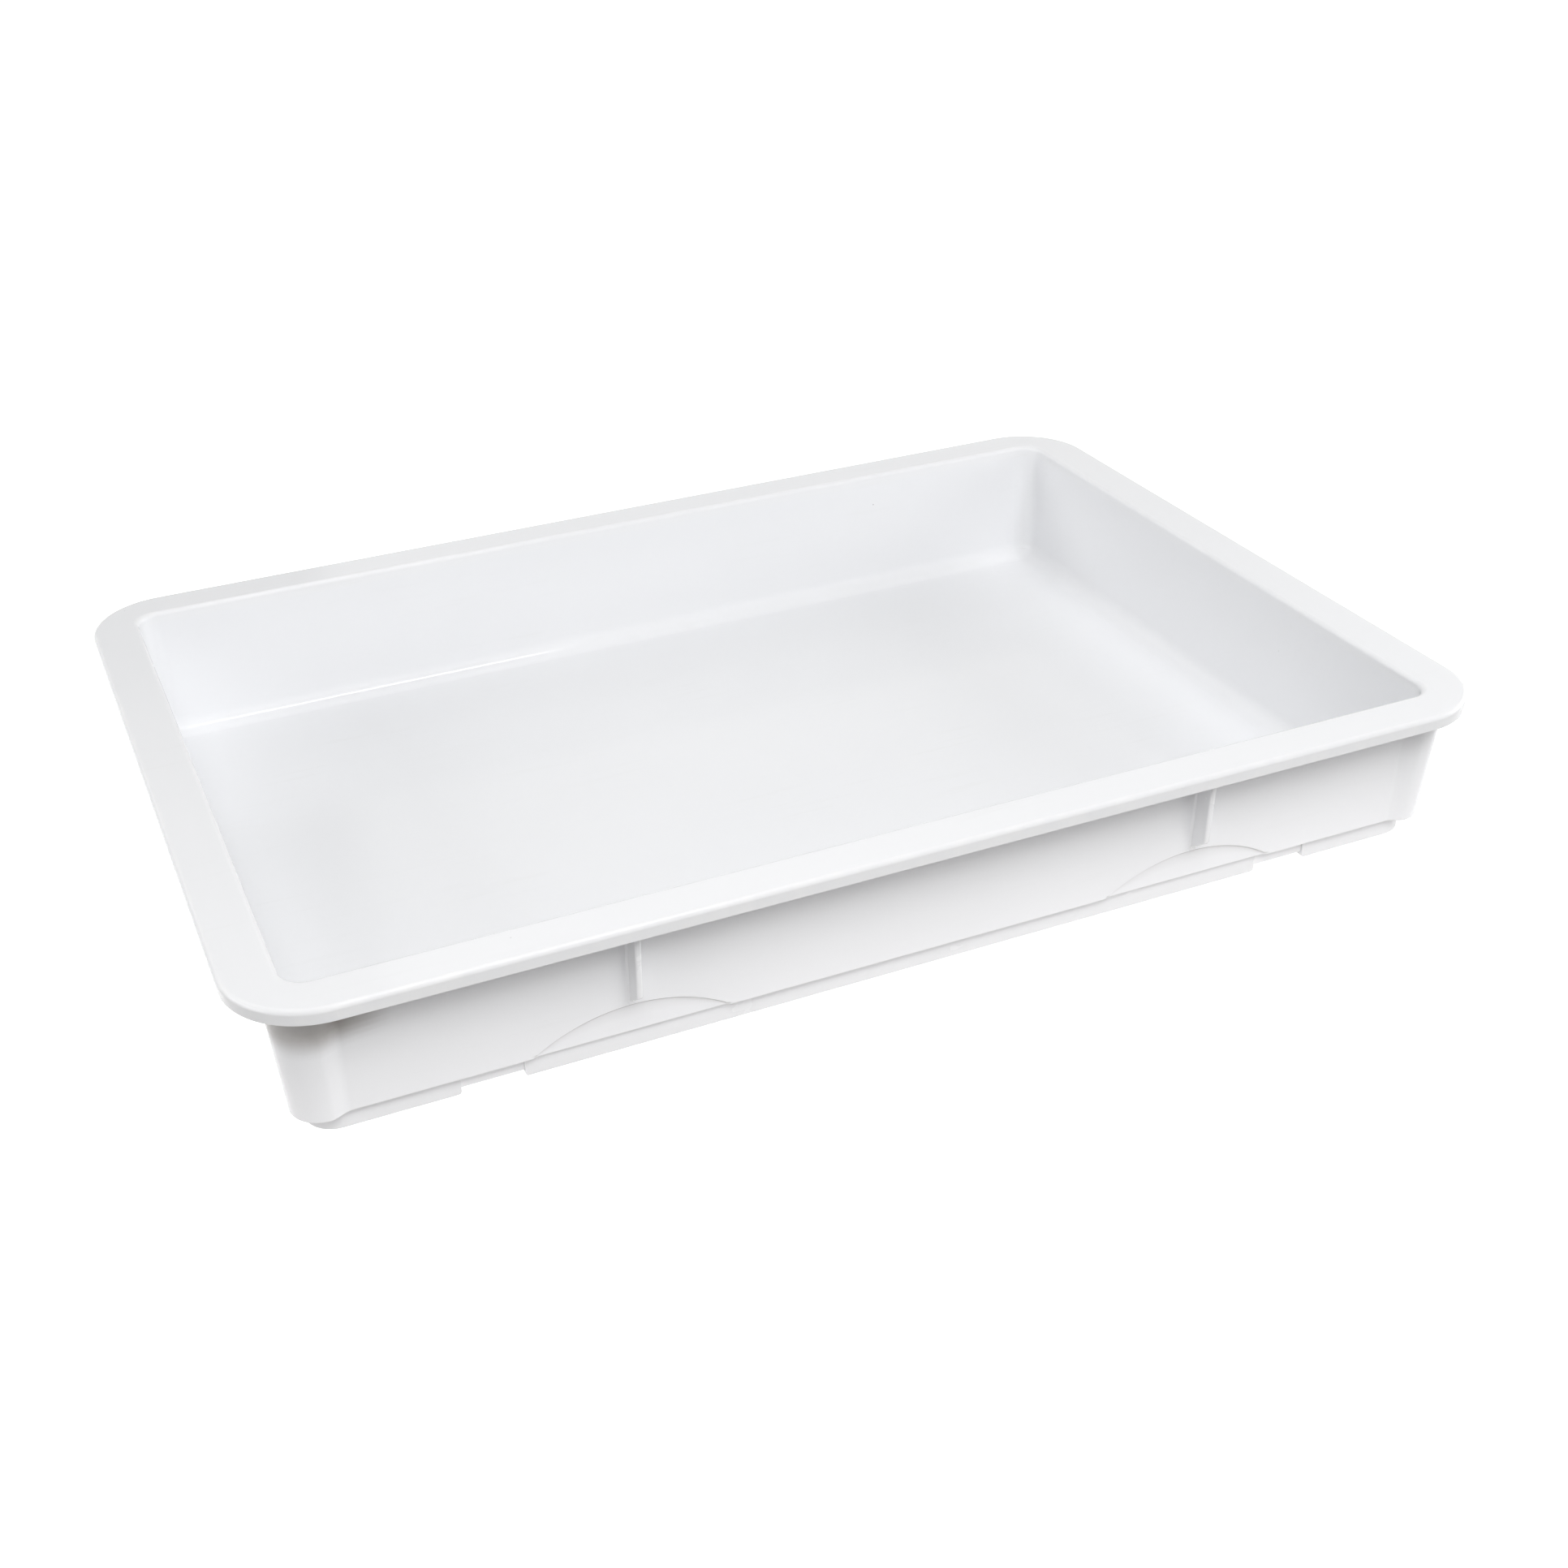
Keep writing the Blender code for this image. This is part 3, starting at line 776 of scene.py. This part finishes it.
def layer_mask(tree, coords, layer, scale, limits, strengths):
    """Value that the mesh carries in a layer, broken up by noise."""
    carried = tree.nodes.new("ShaderNodeAttribute")
    carried.attribute_name = layer
    clouds = noise(tree, coords, scale, 3.0)
    mask = ramp(tree, clouds, "Fac", *limits, *strengths)
    return maths(tree, "MULTIPLY", carried, "Fac", mask, "Result")


def set_roughness(tree, coords, shader, gloss, rubbed, wear):
    """Clouded gloss, duller where the surface is rubbed or worn."""
    cloud = noise(tree, coords, CLOUD_SCALE, 4.0)
    base = ramp(tree, cloud, "Fac", 0.3, 0.7, *gloss)
    from_rub = maths(tree, "MULTIPLY", rubbed, "Value", value=RUB_ROUGHNESS)
    from_wear = maths(tree, "MULTIPLY", wear, "Value", value=WEAR_ROUGHNESS)
    added = maths(tree, "ADD", from_rub, "Value", from_wear, "Value")
    rough = maths(tree, "ADD", base, "Result", added, "Value")
    link(tree, rough, "Value", shader, "Roughness")


def set_bump(tree, coords, shader, rubbed):
    """Orange peel on a slow swell, with shallow grooves where it is rubbed."""
    peel = noise(tree, coords, PEEL_SCALE, 2.0)
    swell = noise(tree, coords, SWELL_SCALE, 1.0)
    relief = maths(tree, "MULTIPLY", swell, "Fac", value=SWELL_RELIEF)
    height = maths(tree, "ADD", peel, "Fac", relief, "Value")
    grooved = maths(tree, "MULTIPLY", rubbed, "Value", value=GROOVE_RELIEF)
    height = maths(tree, "ADD", height, "Value", grooved, "Value")
    bump = tree.nodes.new("ShaderNodeBump")
    bump.inputs["Strength"].default_value = BUMP_STRENGTH
    bump.inputs["Distance"].default_value = BUMP_HEIGHT
    link(tree, height, "Value", bump, "Height")
    link(tree, bump, "Normal", shader, "Normal")


def white_plastic(name, light, dark, gloss, scuff, speck):
    """Moulded white polypropylene.

    light, dark: two close whites that drift over the piece; gloss: roughness range;
    scuff: strength of the fine rubbed streaks; speck: strength of tiny dark inclusions.
    """
    material = bpy.data.materials.new(name)
    material.use_nodes = True
    tree = material.node_tree
    shader = tree.nodes["Principled BSDF"]
    shader.inputs["IOR"].default_value = PLASTIC_IOR
    coords = tree.nodes.new("ShaderNodeTexCoord")
    body = drifting_white(tree, coords, light, dark)
    body = with_specks(tree, coords, body, speck)
    rubbed = rubbed_mask(tree, coords, scuff)
    body = blend_colour(tree, rubbed, "Value", body, SCUFF_GREY)
    wear = layer_mask(tree, coords, "wear", WEAR_SCALE, (0.42, 0.68), (0.0, 0.45))
    body = blend_colour(tree, wear, "Value", body, WORN_WHITE)
    # painted shade: darker brown under the flange, most on the front left post, and in the top
    # corner of the half-moon recesses
    painted_shade = layer_mask(tree, coords, "painted_shade", PAINTED_SHADE_SCALE, (0.3, 0.7), (0.78, 0.96))
    body = blend_colour(tree, painted_shade, "Value", body, PAINTED_SHADE_BROWN)
    link(tree, body, MIX_OUT, shader, "Base Color")
    set_roughness(tree, coords, shader, gloss, rubbed, wear)
    set_bump(tree, coords, shader, rubbed)
    return material


# ---------------------------------------------------------------- stage, light and camera
STAGE_ALBEDO = 0.50                # floor and surroundings
TABLE_ALBEDO = 0.20
FLOOR_GLOW = 0.98
FLOOR_DROP = 0.6 * MM              # stage planes lie this far below one another
DOME_R = 7.0
TABLE = (1.2, 1.2)                 # half sizes
SHEET = (0.43, 0.31)               # paper sheet on the table, under the tray
SHEET_GLOW = (0.60, 0.76)          # at its left and right
SHEET_TINT = (1.0, 0.97, 0.955)
GLOW_FROM_X = -0.25                # where the sheet's glow starts and ends to change
GLOW_TO_X = 0.05

CENTRE = (0.0, 0.0, 0.0)
# name, place, target, width, height, watts, lights matt surfaces, shows in gloss
LIGHTS = (
    ("glint", (0.10, -0.50, 1.40), (-0.05, 0.0, 0.0), 0.52, 0.12, 3.4, False, True),
    ("left_low", (-2.8, 0.0, 0.9), CENTRE, 2.6, 1.2, 26.5, True, True),
    ("right_low", (2.8, 0.0, 0.9), CENTRE, 2.6, 1.2, 31.0, True, True),
    ("front_mid", (0.0, -1.7, 1.9), CENTRE, 1.6, 1.2, 34.0, True, False),
    ("front_high", (0.0, -1.3, 2.1), CENTRE, 2.2, 1.4, 25.2, True, False),
    ("front_low_right", (2.0, -2.0, 0.9), CENTRE, 2.0, 1.2, 9.6, True, False),
    ("back_high", (0.0, 1.4, 2.0), CENTRE, 2.2, 1.4, 6.0, True, False),
    ("back_left", (-1.7, 1.7, 1.45), CENTRE, 1.8, 1.2, 17.0, True, False),
)

LENS_MM = 46.096
SHIFT_X = 0.03694
CAMERA_PLACE = (-0.38773, -0.92625, 0.58227)
CAMERA_YAW = -21.9485              # degrees, then pitch and roll
CAMERA_PITCH = -30.1298
CAMERA_ROLL = 2.1233


def stage_white(name, albedo, glow_left, glow_right, tint=(1.0, 1.0, 1.0)):
    """Matt white of the stage; it glows a little, from one strength at the left to another."""
    material = bpy.data.materials.new(name)
    material.use_nodes = True
    tree = material.node_tree
    shader = tree.nodes["Principled BSDF"]
    shader.inputs["Roughness"].default_value = 0.9
    shader.inputs["Specular IOR Level"].default_value = 0.0
    coords = tree.nodes.new("ShaderNodeTexCoord")
    grain = noise(tree, coords, 30.0, 2.0)
    body = blend_colour(tree, grain, "Fac", (albedo,) * 3, (albedo + 0.02,) * 3)
    link(tree, body, MIX_OUT, shader, "Base Color")
    shader.inputs["Emission Color"].default_value = (*tint, 1.0)
    shader.inputs["Emission Strength"].default_value = glow_left
    if glow_left != glow_right:
        split = tree.nodes.new("ShaderNodeSeparateXYZ")
        link(tree, coords, "Object", split, "Vector")
        glow = ramp(tree, split, "X", GLOW_FROM_X, GLOW_TO_X, glow_left, glow_right)
        link(tree, glow, "Result", shader, "Emission Strength")
    return material


def stage_plane(name, half, z, material):
    """Level plane of the stage, centred on the tray."""
    corners = [(-half[0], -half[1]), (half[0], -half[1]), half, (-half[0], half[1])]
    bm = bmesh.new()
    bm.faces.new([bm.verts.new((x, y, z)) for x, y in corners])
    plane = mesh_object(name, bm, material)
    return plane


def only_seen(obj):
    """Let the camera and reflections see a stage piece that lights nothing."""
    obj.visible_diffuse = False
    obj.visible_transmission = False
    obj.visible_shadow = False


def stage_dome(material):
    """Pale surroundings behind the floor, for views that look over its far edge."""
    bm = bmesh.new()
    bmesh.ops.create_uvsphere(bm, u_segments=48, v_segments=24, radius=DOME_R)
    bmesh.ops.reverse_faces(bm, faces=bm.faces)
    dome = mesh_object("stage_dome", bm, material)
    dome.data.shade_smooth()
    return dome


def stage_card(name, glow, size, place, tilt):
    """Grey card that only reflections see; it calms the gloss where it stands."""
    grey = stage_white(name + "_grey", 0.10, glow, glow)
    card = stage_plane(name, (size[0] / 2.0, size[1] / 2.0), 0.0, grey)
    card.location = place
    card.rotation_euler = (tilt, 0.0, 0.0)
    only_seen(card)
    card.visible_camera = False
    return card


def build_floor():
    """Pale floor as the camera sees it, and the table and sheet that light the tray."""
    pale = stage_white("stage_pale", STAGE_ALBEDO, FLOOR_GLOW, FLOOR_GLOW)
    only_seen(stage_plane("stage_floor", (DOME_R, DOME_R), -FLOOR_DROP, pale))
    only_seen(stage_dome(stage_white("stage_bright", STAGE_ALBEDO, 1.0, 1.0)))
    sheet_white = stage_white("stage_sheet_white", TABLE_ALBEDO, *SHEET_GLOW, SHEET_TINT)
    sheet = stage_plane("stage_sheet", SHEET, -2.0 * FLOOR_DROP, sheet_white)
    sheet.visible_camera = False
    table_grey = stage_white("stage_table_grey", TABLE_ALBEDO, 0.0, 0.0)
    table = stage_plane("stage_table", TABLE, -3.0 * FLOOR_DROP, table_grey)
    table.visible_camera = False
    stage_card("stage_flag", 0.50, (1.05, 3.6), (-0.225, 3.0, 2.0), math.pi / 2.0)
    stage_card("stage_canopy", 0.15, (9.0, 7.5), (0.0, -2.25, 3.3), 0.0)


def softbox(name, place, target, width, height, power):
    """White area light aimed at a point."""
    light = bpy.data.lights.new(name, "AREA")
    light.shape = "RECTANGLE"
    light.size = width
    light.size_y = height
    light.energy = power
    obj = add_object(name, light)
    obj.location = place
    aim = Vector(target) - Vector(place)
    obj.rotation_euler = aim.to_track_quat("-Z", "Y").to_euler()
    return obj


def add_world():
    """World that gives no light: the dome and the softboxes do."""
    world = bpy.data.worlds.new("studio_world")
    world.use_nodes = True
    world.node_tree.nodes["Background"].inputs["Strength"].default_value = 0.0
    bpy.context.scene.world = world


def add_camera():
    """Camera above the front left, looking down over the long side."""
    data = bpy.data.cameras.new("camera")
    data.sensor_width = 36.0
    data.lens = LENS_MM
    data.shift_x = SHIFT_X
    data.clip_start = 0.01
    data.clip_end = 50.0
    camera = add_object("camera", data)
    yaw = Matrix.Rotation(math.radians(CAMERA_YAW), 3, "Z")
    pitch = Matrix.Rotation(math.radians(CAMERA_PITCH), 3, "X")
    roll = Matrix.Rotation(math.radians(CAMERA_ROLL), 3, "Y")
    turn = yaw @ pitch @ roll
    right, ahead, up = turn.col[0], turn.col[1], turn.col[2]
    frame_axes = Matrix((right, up, -ahead)).transposed()
    camera.matrix_world = Matrix.Translation(CAMERA_PLACE) @ frame_axes.to_4x4()
    bpy.context.scene.camera = camera


# ---------------------------------------------------------------- assembly
def build_tray():
    """All pieces of the tray."""
    whites = {}
    for piece, look in WHITES.items():
        whites[piece] = white_plastic(piece + "_plastic_white", *look)
    walls = ["wall_front", "wall_back", "wall_left", "wall_right"]
    rims = ["rim_front", "rim_back", "rim_left", "rim_right"]
    for end in ("front_left", "front_right", "back_left", "back_right"):
        walls.append("corner_post_" + end)
        rims.append("rim_corner_" + end)
    flat = [plain_row(FLAT_X - FLOOR_STRIP, FLAT_Y - FLOOR_STRIP, MIN_CORNER_R, z)
            for z in (UNDER_Z, FLOOR_Z)]
    shell("basin_floor", flat, whites["floor"], ["floor_pan"], plate=True)
    shell("basin_wall", inner_wall_rows() + outer_wall_rows(), whites["wall"],
          walls)
    shell("rim_flange", rim_rows(), whites["rim"], rims)
    for node in FINS:
        gusset(node, whites["fin"])
    foot = whites["foot"]
    straight_rail("foot_mid_front", True, -1.0, FOOT_MID_HALF, foot)
    straight_rail("foot_mid_back", True, 1.0, FOOT_MID_HALF, foot)
    straight_rail("foot_mid_left", False, -1.0, FOOT_SIDE_HALF, foot)
    straight_rail("foot_mid_right", False, 1.0, FOOT_SIDE_HALF, foot)
    for x_label, sx in (("left", -1.0), ("right", 1.0)):
        for y_label, sy in (("front", -1.0), ("back", 1.0)):
            corner_rail("foot_corner_" + y_label + "_" + x_label, sx, sy, foot)


def build_stage():
    """Floor, lights and camera."""
    bpy.context.scene.view_settings.view_transform = "Standard"
    build_floor()
    add_world()
    for name, place, target, width, height, power, diffuse, gloss in LIGHTS:
        light = softbox(name, place, target, width, height, power)
        light.visible_diffuse = diffuse
        light.visible_glossy = gloss
    add_camera()


build_tray()
build_stage()
